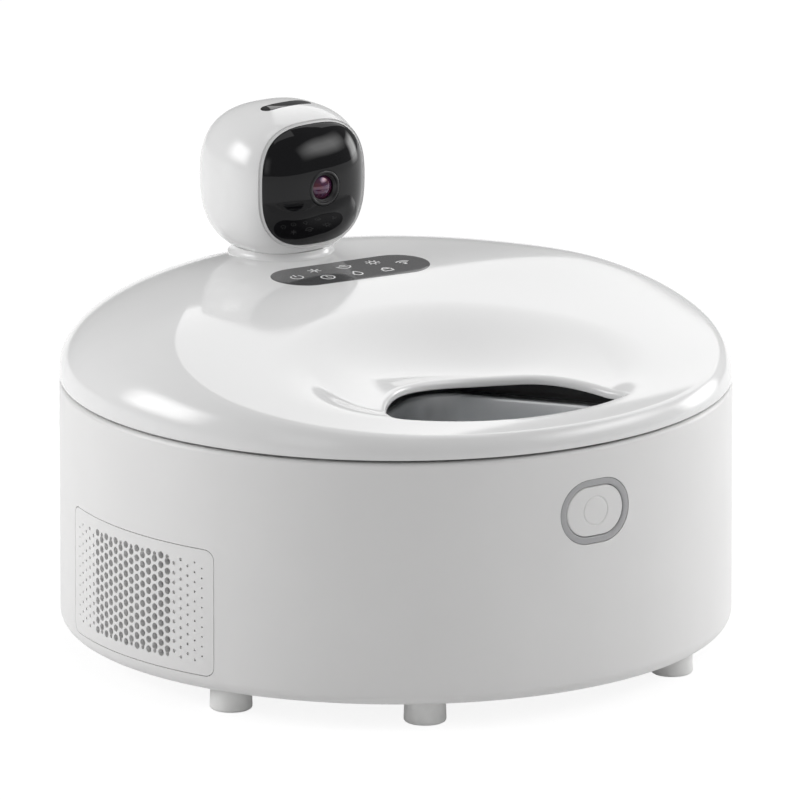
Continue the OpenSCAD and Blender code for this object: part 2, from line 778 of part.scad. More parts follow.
// Inner wall of the front lip, along the opening
module lip_wall() {
  intersection() {
    translate(serve) circle(r = opening_r + 2 * skirt_t);
    difference() {
      circle(r = lip_inner + skirt_t);
      circle(r = lip_inner - skirt_t);
    }
  }
}

module on_posts(z) {
  for (p = lid_posts) translate([p[0], p[1], z]) children();
}

// Children at the place of the control panel and turned with it
module on_panel(z) {
  translate([panel_x, panel_y, z]) rotate(panel_turn) children();
}

module on_panel_posts() {
  on_panel(0) for (side = [-1, 1]) translate([side * panel_post_x, 0, 0]) children();
}

module lid_shell() color(white) difference() {
  union() {
    lid_solid(13, 6, 0, z_lid);
    collar();
  }
  difference() {
    lid_solid(13, 4, skin, z_seam - 8);
    translate([-ear_half - 4, notch_y - wall, z_lid]) cube([2 * ear_half + 8, 40, 60]);
    translate([0, 0, liner_roof]) linear_extrude(big) lip_wall();
    on_posts(0) cylinder(r = boss_r, h = big);
    on_panel_posts() cylinder(r = 3, h = big);
    translate([0, head_y, 0]) cylinder(r = pivot_r + 4, h = big);
  }
  translate([0, 0, z_lid - 1]) cylinder(r = body_r - skin + 0.1, h = liner_t + 1);
  on_panel_posts() cylinder(r = 5, h = panel_board_z);
  translate([0, head_y, 0]) cylinder(r = pivot_r + 6, h = pivot_low);
  on_posts(0) cylinder(r = screw_r + run_fit, h = z_lid + screw_head_h + screw_l + fit);
  translate([-ear_half - 0.6, notch_y, z_lid - 1]) cube([2 * ear_half + 1.2, 40, notch_top - z_lid + 1]);
  linear_extrude(big) opening_outline();
  on_panel(panel_top - panel_t) linear_extrude(20) pill(panel_w + 0.4, panel_h + 0.4);
  translate([0, head_y, 0]) cylinder(r = pivot_r + run_fit, h = big);
}

// Roof sheet over the tray, open above the serving place
module lid_liner() color(white) difference() {
  translate([0, 0, liner_roof]) cylinder(r = liner_wall_r + 2, h = 1.6);
  liner_cuts();
}

// Ring that closes the lid's rim from below, with the low wall that carries the roof sheet
module liner_rim() color(white) difference() {
  outer = body_r - skin - fit;
  step = liner_wall_r + 2;
  rotate_extrude() polygon([
    [liner_wall_r, z_lid], [outer, z_lid], [outer, z_lid + liner_t], [step, z_lid + liner_t],
    [step, liner_roof], [liner_wall_r, liner_roof]
  ]);
  liner_cuts();
  translate([-catch_half - 1, -body_r, 0]) cube([2 * catch_half + 2, body_r - well_r - 12, big]);
  on_posts(z_lid - 1) {
    cylinder(r = screw_r + run_fit, h = liner_t + 2);
    cylinder(r = screw_head_r + run_fit, h = screw_head_h + 1);
  }
}

module liner_cuts() {
  intersection() {
    translate([serve[0], serve[1], 0]) cylinder(r = opening_r + 21, h = big);
    cylinder(r = lip_inner + 0.6, h = big);
  }
  translate([-ear_half - 5, notch_y - wall - fit, 0]) cube([2 * ear_half + 10, 40, big]);
}

module liner_screws() color(grey) on_posts(z_lid) screw(screw_l);

module lid_gasket() color(dark)
  translate([0, 0, z_seam + fit]) tube(well_r + 12, well_r + 6, z_lid - z_seam - fit);

// Strike plate behind the front lip, with a window for the hook
module lid_catch() color(steel) difference() {
  low = z_lid + 0.2;
  translate([-catch_half, catch_y - 2.2, low])
    cube([2 * catch_half, 1.8, z_seam + hook_rise + 0.8 - low]);
  translate([-hook_half - 0.6, catch_y - 5, z_seam + hook_rise - nose_h - 0.1])
    cube([2 * hook_half + 1.2, 10, nose_h + 0.2]);
}

module control_panel() color(dark)
  on_panel(panel_top - panel_t) linear_extrude(panel_t) pill(panel_w, panel_h);

module panel_board() color(green)
  on_panel(panel_board_z - board_t) translate([-36, -9, 0]) cube([72, 18, board_t]);

// Rounded square of the dark window, grown by a margin
module face_window(margin, y0, y1) {
  bow = function(t) sign(t) * pow(abs(t), 2 / face_power);
  along_y(y0, y1, head_z + face_rise) polygon([for (i = [0:63]) let (a = (i + 0.5) * 360 / 64)
    [(face_w / 2 + margin) * bow(cos(a)), (face_h / 2 + margin) * bow(sin(a))]]);
}

// Round of the crown under the bar on top of the head, sunk by a depth
module crown_round(sink) {
  translate([0, head_y + big / 2, head_z + head_up - bar_bend - sink]) rotate([90, 0, 0])
    cylinder(r = bar_bend, h = big);
}

// Seat of the crown bar, down to a depth under the crown
module bar_seat(sink, margin) {
  difference() {
    translate([0, bar_y, head_z + head_up - 2 * bar_t - 3])
      linear_extrude(2 * bar_t + 8) pill(bar_w + margin, bar_h + margin);
    crown_round(sink);
  }
}

module head_shell() color(white) difference() {
  union() {
    head_solid(0, 48, 24);
    translate([0, head_y, head_bottom]) cylinder(r = neck_r, h = 14);
  }
  difference() {
    head_solid(head_t, 28, 14);
    translate([0, head_y, 0]) cylinder(r = neck_r, h = head_bottom + head_t);
  }
  translate([-big / 2, head_y - big / 2, 0]) cube([big, big, head_bottom]);
  face_window(0.2, head_y - head_d, head_y - head_d / 4);
  translate([0, head_y, 0]) cylinder(r = pivot_r + fit, h = head_z - 20);
  bar_seat(bar_t + 0.2, 0.4);
}

// Dark window that carries on the round of the head
module head_face() color(dark) difference() {
  intersection() {
    face_window(0, head_y - head_d, head_y - head_d / 4);
    head_solid(0.2, 48, 24);
  }
  head_solid(0.2 + face_t, 28, 14);
  along_y(head_y - head_d, head_y, head_z) circle(r = lens_r + 0.1);
}

module lens_barrel() color(dark) {
  difference() {
    along_y(lens_front, camera_back, head_z) circle(r = lens_r);
    along_y(lens_front - 1, lens_front + 4, head_z) circle(r = glass_r + 0.1);
  }
}

module lens_glass() color([0.2, 0.08, 0.16]) intersection() {
  along_y(lens_front, lens_front + 4, head_z) circle(r = glass_r);
  translate([0, lens_front + 0.6 + 14, head_z]) sphere(r = 14);
}

module camera_board() color(green)
  translate([-20, camera_back, head_z - 20]) cube([40, board_t, 40]);

module camera_pivot() color(grey) difference() {
  floor_z = head_bottom + head_t;
  union() {
    translate([0, head_y, pivot_low]) cylinder(r = pivot_r, h = floor_z - pivot_low + eps);
    translate([0, head_y, floor_z]) cylinder(r = 19, h = 2.5);
    translate([-18, camera_back + board_t, floor_z + 2]) cube([36, 3, head_z + 18 - floor_z - 2]);
  }
  translate([0, head_y, 0]) cylinder(r = 7, h = floor_z + 3);
}

module top_bar() color(dark) intersection() {
  bar_seat(bar_t + 0.1, 0);
  crown_round(0.1);
}

body_shell();
vent_grille();
dust_filter();
base_plate();
base_screws();
feet();
cold_well();
foam_wall();
foam_floor();
cold_plate();
peltier_module();
heat_sink();
fan_frame();
fan_rotor();
drive_motor();
drive_pinion();
bearing_bush();
main_board();
dc_inlet();
button_bezel();
release_button();
latch_hook();
hinge_bracket();
hinge_pin();
lid_shell();
lid_liner();
liner_rim();
lid_gasket();
lid_knuckle();
lid_catch();
liner_screws();
control_panel();
panel_board();
head_shell();
head_face();
lens_barrel();
lens_glass();
camera_board();
camera_pivot();
top_bar();
spindle();
tray_gear();
tray_carousel();
bowl_1();
bowl_2();
bowl_3();
closing_plate();
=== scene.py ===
# %% [markdown]
# # A refrigerated pet feeder, dressed for its portrait
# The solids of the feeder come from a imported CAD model. This lesson keeps every solid where it is, gives
# each one a finish, and rebuilds the pieces whose curves deserve a finer surface than the solids carry.

# %% Load the frame
import json
import math
import bpy
import numpy as np
from mathutils import Matrix


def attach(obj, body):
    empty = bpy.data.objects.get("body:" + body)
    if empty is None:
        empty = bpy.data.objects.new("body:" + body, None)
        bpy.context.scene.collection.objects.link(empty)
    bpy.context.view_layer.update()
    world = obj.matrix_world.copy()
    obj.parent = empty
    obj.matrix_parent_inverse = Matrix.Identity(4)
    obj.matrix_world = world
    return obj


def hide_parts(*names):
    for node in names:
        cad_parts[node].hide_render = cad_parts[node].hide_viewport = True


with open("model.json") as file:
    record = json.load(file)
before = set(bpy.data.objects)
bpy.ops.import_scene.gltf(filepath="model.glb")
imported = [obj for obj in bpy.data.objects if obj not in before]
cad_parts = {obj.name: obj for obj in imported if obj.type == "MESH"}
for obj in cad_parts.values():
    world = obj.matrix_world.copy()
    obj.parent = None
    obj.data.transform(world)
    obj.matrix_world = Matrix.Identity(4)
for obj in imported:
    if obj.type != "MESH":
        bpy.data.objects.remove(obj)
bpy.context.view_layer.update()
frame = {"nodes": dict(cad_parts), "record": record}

# %% [markdown]
# ## The camera
# The photograph was taken from far away with a long lens, a little above the lid, from the front left.
# A long lens keeps the round housing nearly free of perspective. The camera is placed from four numbers:
# the two angles, the distance, and how many millimetres one pixel covers at the middle of the object. The
# middle of the lid's seam falls on a known pixel, and that gives the aim.

# %% Camera
MM = 0.001
AZIMUTH, ELEVATION, DISTANCE = math.radians(-36.0), math.radians(14.8), 10.0
PIXEL, PICTURE, SENSOR_MM = 0.505 * MM, 800, 36
SEAM_MM, SEAM_COLUMN, SEAM_ROW = 138.0, 396, 376.8
back = np.array([
    math.sin(AZIMUTH) * math.cos(ELEVATION),
    -math.cos(AZIMUTH) * math.cos(ELEVATION),
    math.sin(ELEVATION),
])
right = np.array([math.cos(AZIMUTH), math.sin(AZIMUTH), 0.0])
up = np.cross(back, right)
seam = np.array([0, 0, SEAM_MM * MM])
aim = seam + right * (PICTURE / 2 - SEAM_COLUMN) * PIXEL - up * (PICTURE / 2 - SEAM_ROW) * PIXEL

camera = bpy.data.objects.new("camera", bpy.data.cameras.new("camera"))
camera.data.lens = DISTANCE / PIXEL * SENSOR_MM / PICTURE
camera.data.clip_end = 10 * DISTANCE
bpy.context.scene.collection.objects.link(camera)
place = np.eye(4)
place[:3, 0], place[:3, 1], place[:3, 2], place[:3, 3] = right, up, back, aim + back * DISTANCE
camera.matrix_world = Matrix(place.tolist())
bpy.context.scene.camera = camera
print("lens:", round(camera.data.lens, 1), "mm")

# %% [markdown]
# ## Shader maths as plain expressions
# A finish is a small network of nodes. Wrapping a socket in a class with arithmetic operators lets the
# network be written like a formula, and one method makes every other kind of node.

# %% Sockets with operators
class Value:
    """A socket that can be added, subtracted, multiplied and divided; each operator adds one Math node."""

    def __init__(self, tree, socket):
        self.tree, self.socket = tree, socket

    def math(self, operation, first, second=0.0, clamp=False):
        settings = {"operation": operation, "use_clamp": clamp}
        return make(self.tree, "ShaderNodeMath", settings, {0: first, 1: second})

    def __add__(self, other): return self.math("ADD", self, other)
    def __radd__(self, other): return self.math("ADD", other, self)
    def __sub__(self, other): return self.math("SUBTRACT", self, other)
    def __rsub__(self, other): return self.math("SUBTRACT", other, self)
    def __mul__(self, other): return self.math("MULTIPLY", self, other)
    def __rmul__(self, other): return self.math("MULTIPLY", other, self)
    def __truediv__(self, other): return self.math("DIVIDE", self, other)
    def clamped(self): return self.math("MULTIPLY", self, 1.0, clamp=True)


def make(tree, kind, settings=None, inputs=None, output=0):
    """Adds a node, sets its settings, then fills its inputs with values or links, and returns one output."""
    node = tree.nodes.new(kind)
    for key, value in (settings or {}).items():
        setattr(node, key, value)
    for key, value in (inputs or {}).items():
        if isinstance(value, Value):
            tree.links.new(value.socket, node.inputs[key])
        else:
            node.inputs[key].default_value = value
    return Value(tree, node.outputs[output])


class Finish:
    """A material with one Principled surface; its methods give patterns in the object's own millimetres."""

    def __init__(self, name):
        self.material = bpy.data.materials.new(name)
        self.material.use_nodes = True
        self.tree = self.material.node_tree
        self.tree.nodes.clear()
        self.surface = self.tree.nodes.new("ShaderNodeBsdfPrincipled")
        self.output = self.tree.nodes.new("ShaderNodeOutputMaterial")
        self.tree.links.new(self.surface.outputs[0], self.output.inputs[0])

    def node(self, kind, settings=None, inputs=None, output=0):
        return make(self.tree, kind, settings, inputs, output)

    def spot(self, stretch=(1, 1, 1)):
        """Object coordinates in millimetres, stretched along the axes."""
        place = self.node("ShaderNodeTexCoord", output="Object")
        return self.node("ShaderNodeMapping", {}, {"Vector": place, "Scale": [s / MM for s in stretch]})

    def noise(self, size, detail=2.0, stretch=(1, 1, 1)):
        """Soft noise whose lumps are about size millimetres across."""
        inputs = {"Vector": self.spot(stretch), "Scale": 1 / size, "Detail": detail}
        return self.node("ShaderNodeTexNoise", {}, inputs)

    def between(self, share, low, high):
        """A colour that goes from low to high with share."""
        inputs = {0: share, 6: (*low, 1), 7: (*high, 1)}
        return self.node("ShaderNodeMix", {"data_type": "RGBA"}, inputs, output=2)

    def bump(self, height, depth_mm):
        """A normal bent by a height between 0 and 1 that stands for depth_mm millimetres."""
        return self.node("ShaderNodeBump", {}, {"Strength": 1.0, "Distance": depth_mm * MM, "Height": height})

    def set(self, **inputs):
        """Sets or links sockets of the surface by name, with _ for a space."""
        for key, value in inputs.items():
            socket = self.surface.inputs[key.replace("_", " ")]
            if isinstance(value, Value):
                self.tree.links.new(value.socket, socket)
            else:
                socket.default_value = value
        return self.material


print("shader helpers ready")

# %% [markdown]
# ## Finishes
# The housing is satin moulded plastic, the lid and camera head are polished. Moulded plastic isn't flat:
# a fine spark-eroded grain breaks up the satin, and a slow orange-peel wave bends the gloss. Each finish
# is one function of a few numbers, so that a family of plastics or metals shares one recipe.

# %% Plastics
CLOUD_MM, WAVE_MM, PATCH_MM = 38, 9, 6


def moulded(name, colour, rough, grain_mm=0.35, grain_depth=0.004, wave_depth=0.0, vary=0.03):
    """Moulded plastic: a cloudy tint, a fine grain in the bump, and a slow wave for polished skins."""
    finish = Finish(name)
    cloud = finish.noise(CLOUD_MM, 3)
    grain = finish.noise(grain_mm, 2)
    dark = [c * (1 - vary) for c in colour]
    light = [min(c * (1 + vary * 0.6), 1) for c in colour]
    depth = grain_depth + wave_depth
    height = grain * (grain_depth / depth) + finish.noise(WAVE_MM, 1) * (wave_depth / depth)
    return finish.set(
        Base_Color=finish.between(cloud, dark, light),
        Roughness=rough - 0.04 + 0.08 * finish.noise(PATCH_MM, 3),
        Normal=finish.bump(height, depth),
    )


def metal(name, colour, rough, stretch=(0.05, 1, 1), line_mm=0.5, depth=0.002):
    """Drawn or brushed metal: noise stretched along one axis roughens and scores the surface."""
    finish = Finish(name)
    lines = finish.noise(line_mm, 3, stretch)
    smear = finish.noise(14, 3)
    return finish.set(
        Base_Color=finish.between(smear, [c * 0.93 for c in colour], colour), Metallic=1.0,
        Roughness=rough - 0.06 + 0.1 * lines + 0.06 * smear, Normal=finish.bump(lines, depth),
    )


def rubber(name, colour):
    """Soft rubber: dull, with a grainy skin and cloudy patches."""
    finish = Finish(name)
    grain = finish.noise(0.5, 4)
    return finish.set(
        Base_Color=finish.between(finish.noise(5, 4), [c * 0.88 for c in colour], colour),
        Roughness=0.62 + 0.2 * grain, Normal=finish.bump(grain, 0.02),
    )


def circuit(name):
    """Solder mask over copper: a fine grid of tracks shows lighter through the green lacquer."""
    finish = Finish(name)
    tracks = finish.node("ShaderNodeTexBrick", {"offset": 0.37, "squash": 1.4}, {
        "Vector": finish.spot(), "Scale": 0.22, "Mortar Size": 0.06,
        "Brick Width": 1.9, "Row Height": 0.55,
    }, output=1)
    return finish.set(
        Base_Color=finish.between(tracks, (0.012, 0.09, 0.04), (0.05, 0.22, 0.09)),
        Roughness=0.34 + 0.1 * finish.noise(2, 2), Normal=finish.bump(tracks, 0.03),
    )


def foamed(name, colour):
    """Rigid foam: round cell pits of about a millimetre press into the skin, and painted shade darkens the middle
    of each pit, where it sinks deepest.
    """
    finish = Finish(name)
    # Painted shade: the colour is darker in the middle of each cell pit, the same pattern that sinks the bump.
    cell_pits_and_shade = finish.node("ShaderNodeTexVoronoi", {}, {"Vector": finish.spot(), "Scale": 0.9})
    return finish.set(
        Base_Color=finish.between(cell_pits_and_shade, [c * 0.8 for c in colour], colour),
        Roughness=0.75 + 0.15 * cell_pits_and_shade, Normal=finish.bump(cell_pits_and_shade, 0.2),
    )


def woven(name, colour):
    """Filter cloth: two crossed sets of threads, about a millimetre apart, with painted shade darkening the gaps
    between them, where the bump sinks.
    """
    finish = Finish(name)
    threads = finish.node("ShaderNodeTexWave", {"bands_direction": "Z"}, {"Vector": finish.spot(), "Scale": 0.35})
    cross = finish.node("ShaderNodeTexWave", {"bands_direction": "Y"}, {"Vector": finish.spot(), "Scale": 0.35})
    # The thread pattern also drives the colour: painted shade, darker in the gaps between the threads.
    weave_and_gap_shade = (threads + cross) * 0.5
    return finish.set(
        Base_Color=finish.between(weave_and_gap_shade, [c * 0.75 for c in colour], colour),
        Roughness=0.8 + 0.1 * weave_and_gap_shade, Normal=finish.bump(weave_and_gap_shade, 0.1),
    )


def black_glass(name):
    """Smoked front glass: almost black, polished, with a breath of smear that only the gloss shows."""
    finish = Finish(name)
    smear = finish.noise(11, 4)
    return finish.set(
        Base_Color=finish.between(smear, (0.004, 0.004, 0.005), (0.007, 0.007, 0.008)),
        Roughness=0.02 + 0.03 * smear, Specular_IOR_Level=0.3,
    )


def coated_lens(name):
    """Lens coating: deep red and purple flowing into each other, very polished."""
    finish = Finish(name)
    tint = finish.noise(3.5, 1)
    return finish.set(
        Base_Color=finish.between((tint * 2.2 - 0.6).clamped(), (0.13, 0.015, 0.035), (0.05, 0.012, 0.08)),
        Metallic=0.35, Roughness=0.03 + 0.02 * tint, Coat_Weight=1.0, Coat_Roughness=0.01,
    )


PAINT = {
    "shell_white": moulded("shell_white", (0.803, 0.799, 0.796), 0.40, grain_mm=0.3, grain_depth=0.006),
    "lid_white": moulded("lid_white", (0.82, 0.82, 0.82), 0.10, grain_depth=0.0003, wave_depth=0.0006, vary=0.015),
    "liner_white": moulded("liner_white", (0.80, 0.80, 0.79), 0.42),
    "grey_plastic": moulded("grey_plastic", (0.42, 0.42, 0.43), 0.34),
    "foot_rubber": rubber("foot_rubber", (0.93, 0.93, 0.92)),
    "seal_rubber": rubber("seal_rubber", (0.03, 0.03, 0.032)),
    "black_plastic": moulded("black_plastic", (0.014, 0.014, 0.015), 0.3, grain_depth=0.008, vary=0.2),
    "black_gloss": black_glass("black_gloss"),
    "panel_dark": moulded("panel_dark", (0.085, 0.085, 0.087), 0.09,
                          grain_depth=0.0004, wave_depth=0.0006, vary=0.06),
    "bowl_steel": metal("bowl_steel", (0.82, 0.83, 0.84), 0.34),
    "plain_steel": metal("plain_steel", (0.56, 0.57, 0.59), 0.3, stretch=(1, 1, 0.1)),
    "well_aluminium": metal("well_aluminium", (0.74, 0.75, 0.77), 0.36, stretch=(1, 1, 0.06)),
    "sink_aluminium": metal("sink_aluminium", (0.66, 0.67, 0.69), 0.32),
    "foam": foamed("foam", (0.74, 0.74, 0.71)),
    "ceramic": moulded("ceramic", (0.82, 0.82, 0.80), 0.5, grain_mm=0.15),
    "board_green": circuit("board_green"),
    "gear_white": moulded("gear_white", (0.78, 0.78, 0.75), 0.38, grain_mm=0.5),
    "lens": coated_lens("lens"),
    "filter_mesh": woven("filter_mesh", (0.30, 0.30, 0.31)),
}
print("finishes:", len(PAINT))

# %% [markdown]
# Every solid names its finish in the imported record, so the finishes go on by slot and no solid is missed.

# %% Dress the solids
for entry in frame["record"]["subparts"]:
    solid = frame["nodes"][entry["node"]]
    solid.data.materials.clear()
    solid.data.materials.append(PAINT[entry["material_slot"]])

# %% [markdown]
# ## Surfaces from grids
# A piece is a grid of points: its rows follow one another along a profile, and each row runs round the piece
# or across it. One helper turns such an array into a mesh, joins the last column to the first where the piece
# goes round, and closes an end to a point where it should have a pole.

# %% Grid to mesh
def piece(name, points, body, slot, around=True, poles=(False, False), flip=False,
          stands_for=(), sharp=40, thick=None, ink=None):
    """Rows by columns by 3 metres to a mesh: quads between neighbours, fans at poles; a list joins grids."""
    verts, faces, base = [], [], 0
    several = isinstance(points, list) and np.ndim(points[0]) == 3
    for grid in points if several else [points]:
        grid = np.asarray(grid, float)
        high, wide = grid.shape[:2]
        index = base + np.arange(high * wide).reshape(high, wide)
        beside = np.roll(index, -1, axis=1) if around else index[:, 1:]
        here = index if around else index[:, :-1]
        faces.append(np.stack([here[:-1], beside[:-1], beside[1:], here[1:]], -1).reshape(-1, 4))
        verts.append(grid.reshape(-1, 3))
        base += high * wide
        for pole, row in zip(poles, (0, -1)):
            if pole:
                verts.append(grid[row].mean(0)[None])
                fan = np.stack([here[row], beside[row], np.full(here.shape[1], base)], -1)
                faces.append(fan if row else fan[:, ::-1])
                base += 1
    data = bpy.data.meshes.new(name)
    sides = [f[:, ::-1] if flip else f for f in faces]
    data.from_pydata(np.concatenate(verts).tolist(), [], [q for f in sides for q in f.tolist()])
    data.polygons.foreach_set("use_smooth", np.ones(len(data.polygons), bool))
    data.set_sharp_from_angle(angle=math.radians(sharp))
    data.materials.append(PAINT[ink or slot])
    made = bpy.data.objects.new(name, data)
    bpy.context.scene.collection.objects.link(made)
    if thick:
        shell = made.modifiers.new("wall", "SOLIDIFY")
        shell.thickness, shell.offset = thick, -1
    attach(made, body)
    if stands_for:
        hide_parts(*stands_for)
    print(name, "faces:", len(data.polygons))
    return made


def even_turn(count):
    """Angles in even steps round a full turn."""
    return np.arange(count) * 2 * np.pi / count


def toward(angle):
    """Unit vectors of the plane at angles from its first axis."""
    return np.stack([np.cos(angle), np.sin(angle)], -1)


def raised(plan, height):
    """Plan points with their heights as a third coordinate."""
    return np.concatenate([plan, np.broadcast_to(height, plan.shape[:-1])[..., None]], -1)


def lathe(profile, centre, axis="z", count=96):
    """A profile of (radius, height) pairs in millimetres turned about an axis through centre."""
    profile = np.asarray(profile, float)
    flat = profile[:, None, 0, None] * toward(even_turn(count))
    rise = np.broadcast_to(profile[:, None, 1, None], flat.shape[:2] + (1,))
    order = [flat, rise] if axis == "z" else [flat[..., :1], -rise, flat[..., 1:]]
    return (np.concatenate(order, -1) + np.asarray(centre, float)) * MM


print("grid helpers ready")

# %% [markdown]
# ## The lid
# The lid is the piece that makes this object: a sloping top with a crest that swings from the rear down to
# the front lip, a round band outside the crest, and a scoop that sinks to the feeding opening. It could be
# sculpted, but the real one was drawn from a few curves, so it is a height formula over the plan. Columns run
# from the rolled edge of the opening to the crest and on to the rim, so the edges lie along the grid.

# %% Plan helpers
R = 170.0


def polar(radius, angle):
    """Plan point at an angle from the front towards +X."""
    return np.stack([radius * np.sin(angle), -radius * np.cos(angle)], -1)


def ease(t):
    """Smooth step from 0 to 1."""
    s = np.clip(t, 0, 1)
    return s * s * (3 - 2 * s)


def soft_max(t, k):
    """The larger of t and 0 with a rounded knee k wide."""
    return k * np.logaddexp(0, t / k)


print("radius of the housing:", R, "mm")

# %% Lid formula
LIP_H, TOP_H, LIP_SOFT = 12.0, 46.3, 2
SLOPE, KNEE_Y, KNEE_SOFT = 0.21, 22.0, 8
SIDE_DROP, SIDE_R = 6.0, 0.882 * R
OPENING_R, LIP_INNER, SERVE_TURN = 65.0, 0.84 * R, math.radians(9.5)
SERVE = polar(0.794 * R, -SERVE_TURN)
FALL_GAP, FALL_RUN = 1, 62
BLEND_LEAST, BLEND_MORE, BLEND_FROM, BLEND_RUN, BLEND_PAST = 12, 60, 60, 90, 6
SCOOP_SINK, BACK_LIFT, BACK_RUN = 2, 4, 60
RIGHT_LIFT, RIGHT_FROM, RIGHT_RUN = 3, -10, 70
LEFT_LIFT, LEFT_FROM, LEFT_RUN = 6, 20, 110


def lid_height(plan):
    """Height over the seam: flat rear, front slope, falling sides, sunk to the scoop floor by the opening."""
    x, y = plan[..., 0], plan[..., 1]
    front = SLOPE * soft_max(KNEE_Y - y, KNEE_SOFT)
    sides = SIDE_DROP * (x / SIDE_R) ** 4
    dome = LIP_H + soft_max(TOP_H - LIP_H - front - sides, LIP_SOFT)
    out, apart = np.hypot(x, y), np.linalg.norm(plan - SERVE, axis=-1)
    near = 1 - ease((apart - OPENING_R - FALL_GAP) / FALL_RUN)
    blend = BLEND_LEAST + BLEND_MORE * ease((apart - BLEND_FROM) / BLEND_RUN)
    inside = 1 - ease((out - LIP_INNER + blend) / (blend + BLEND_PAST))
    scoop = LIP_H - SCOOP_SINK + BACK_LIFT * ease((LIP_INNER - out) / BACK_RUN)
    scoop = scoop + RIGHT_LIFT * ease((x - RIGHT_FROM) / RIGHT_RUN)
    scoop = scoop + LEFT_LIFT * ease((LEFT_FROM - x) / LEFT_RUN)
    return dome - (dome - scoop) * near * inside


print("lid height in the middle:", round(float(lid_height(np.zeros(2))), 2), "mm over the seam")

# %% [markdown]
# Every column leaves the opening along a ray from a point inside it and goes straight to the crest. Two columns
# lie close together at each side of the hinge notch, so that the notch has steep ends.

# %% Lid columns
CREST_REAR, CREST_SWING, CREST_TURN, CREST_SOFT = 0.597, 0.37, 92, 10.5
COLUMNS, HAIR, EYE_R = 404, 1e-4, 112.0
NOTCH_HALF, NOTCH_TOP = math.asin(36.6 / R), 21.0


def crest_radius(angle):
    """Distance of the crest from the middle: near the rim in front, well inside it at the rear."""
    ahead = (CREST_TURN - np.abs(np.degrees(angle))) / CREST_SOFT
    return R * (CREST_REAR + CREST_SWING / (1 + np.exp(-ahead)))


turn = np.sort(np.concatenate([
    np.linspace(-np.pi, np.pi, COLUMNS, endpoint=False),
    [s * (np.pi - NOTCH_HALF + d) for s in (-1, 1) for d in (-HAIR, HAIR)],
]))
crest = polar(crest_radius(turn), turn)
eye = polar(EYE_R, -SERVE_TURN)
ray = (crest - eye) / np.linalg.norm(crest - eye, axis=-1, keepdims=True)
print("lid columns:", len(turn))

# %% [markdown]
# The opening is what a scoop circle and the circle of the lip have in common. Its left end is rounder than its
# right one. The edge rolls over and goes down as a short skirt, which hangs lower behind than at the lip.

# %% Edge of the opening
BLUNT_RIGHT, BLUNT_LEFT = 0.8, 2.5
ROLL, SKIRT_DROP, LIP_UNDER, LIP_BLUR = 2.8, 4.6, 5.6, 4


def reach(centre, radius):
    """Distance from the eye point along each ray to a circle round it."""
    to = eye - centre
    along = (ray * to).sum(-1)
    return -along + np.sqrt(along ** 2 - (to ** 2).sum() + radius ** 2)


def opening_edge(margin):
    """Feeding opening grown by a margin: scoop circle and lip circle with a rounded meeting at each end."""
    a, b = reach(SERVE, OPENING_R + margin), reach(np.zeros(2), LIP_INNER + margin)
    blunt = np.where(turn > -SERVE_TURN, BLUNT_RIGHT, BLUNT_LEFT)
    return eye - ray * (blunt * np.logaddexp(-a / blunt, -b / blunt))[:, None]


start = opening_edge(ROLL)
level = lid_height(start)
at_lip = 1 / (1 + np.exp((reach(np.zeros(2), LIP_INNER) - reach(SERVE, OPENING_R)) / LIP_BLUR))
low = (level - SKIRT_DROP) * (1 - at_lip) + LIP_UNDER * at_lip
skirt = [raised(opening_edge(0), low + (level - ROLL - low) * k) for k in (0, 0.4)]
roll = [raised(opening_edge(ROLL * (1 - math.cos(q))), level - ROLL * (1 - math.sin(q)))
        for q in np.linspace(0.02, 1, 7)[:-1] * math.pi / 2]
print("rows of the edge:", len(skirt) + len(roll))

# %% [markdown]
# From the edge the rows go over the top to the crest and down the round band to the seam. At the rear the band
# stops early and leaves the notch. A few passes of averaging soften the crest itself.

# %% Lid rows
TOP_ROWS, BAND_ROWS = 78, 26
BAND_FOOT, BAND_POWER, LID_GAP = 0.14, 1.5, 1.4
SMOOTH_PASSES, SMOOTH_ROWS = 6, 3.5
w = np.linspace(0, 1, TOP_ROWS)
w = 0.6 * w + 0.4 * (1 - np.cos(np.pi * w)) / 2
top_plan = start + (crest - start) * w[:, None, None]
top = raised(top_plan, lid_height(top_plan))
rear = np.abs(turn) > np.pi - NOTCH_HALF
crest_h = lid_height(crest)
notch_share = np.clip((NOTCH_TOP / crest_h - BAND_FOOT) / (1 - BAND_FOOT), 0, 1)
s_last = np.where(rear, (1 - notch_share ** 2) ** (1 / BAND_POWER), 1.0)
s = np.sin(np.pi / 2 * np.linspace(0, 1, BAND_ROWS)[1:])[:, None] * s_last
band_r = crest_radius(turn) + (R - crest_radius(turn)) * s
band_h = crest_h * (BAND_FOOT + (1 - BAND_FOOT) * np.sqrt(1 - s ** BAND_POWER))
band = raised(polar(band_r, turn), band_h)
foot = [raised(polar(np.where(rear, band_r[-1], R - c), turn),
               np.where(rear, band_h[-1], LID_GAP + (band_h[-1] - LID_GAP) * k))
        for c, k in ((0.0, 0.35), (0.12, 0.12), (0.5, 0.0))]
lid = np.concatenate([skirt, roll, top, band, foot])
crest_row = len(skirt) + len(roll) + len(top) - 1
near_crest = np.exp(-((np.arange(len(lid)) - crest_row) / SMOOTH_ROWS) ** 2)[1:-1, None, None]
for _ in range(SMOOTH_PASSES):
    lid[1:-1] += 0.5 * near_crest * ((lid[:-2] + lid[2:]) / 2 - lid[1:-1])
lid[..., 2] += SEAM_MM
piece("lid_skin", lid * MM, "lid", "lid_white", flip=True, stands_for=["lid_shell"], sharp=55, thick=2.2 * MM)

# %% [markdown]
# ## The camera head
# A rounded block with a big smoked window. Its form is a superellipsoid: between a ball and a brick. Each row
# goes round the line of sight, and the rows follow one another from the window's edge to the back. So the
# window's edge is a row of the grid and gets a small clean round.

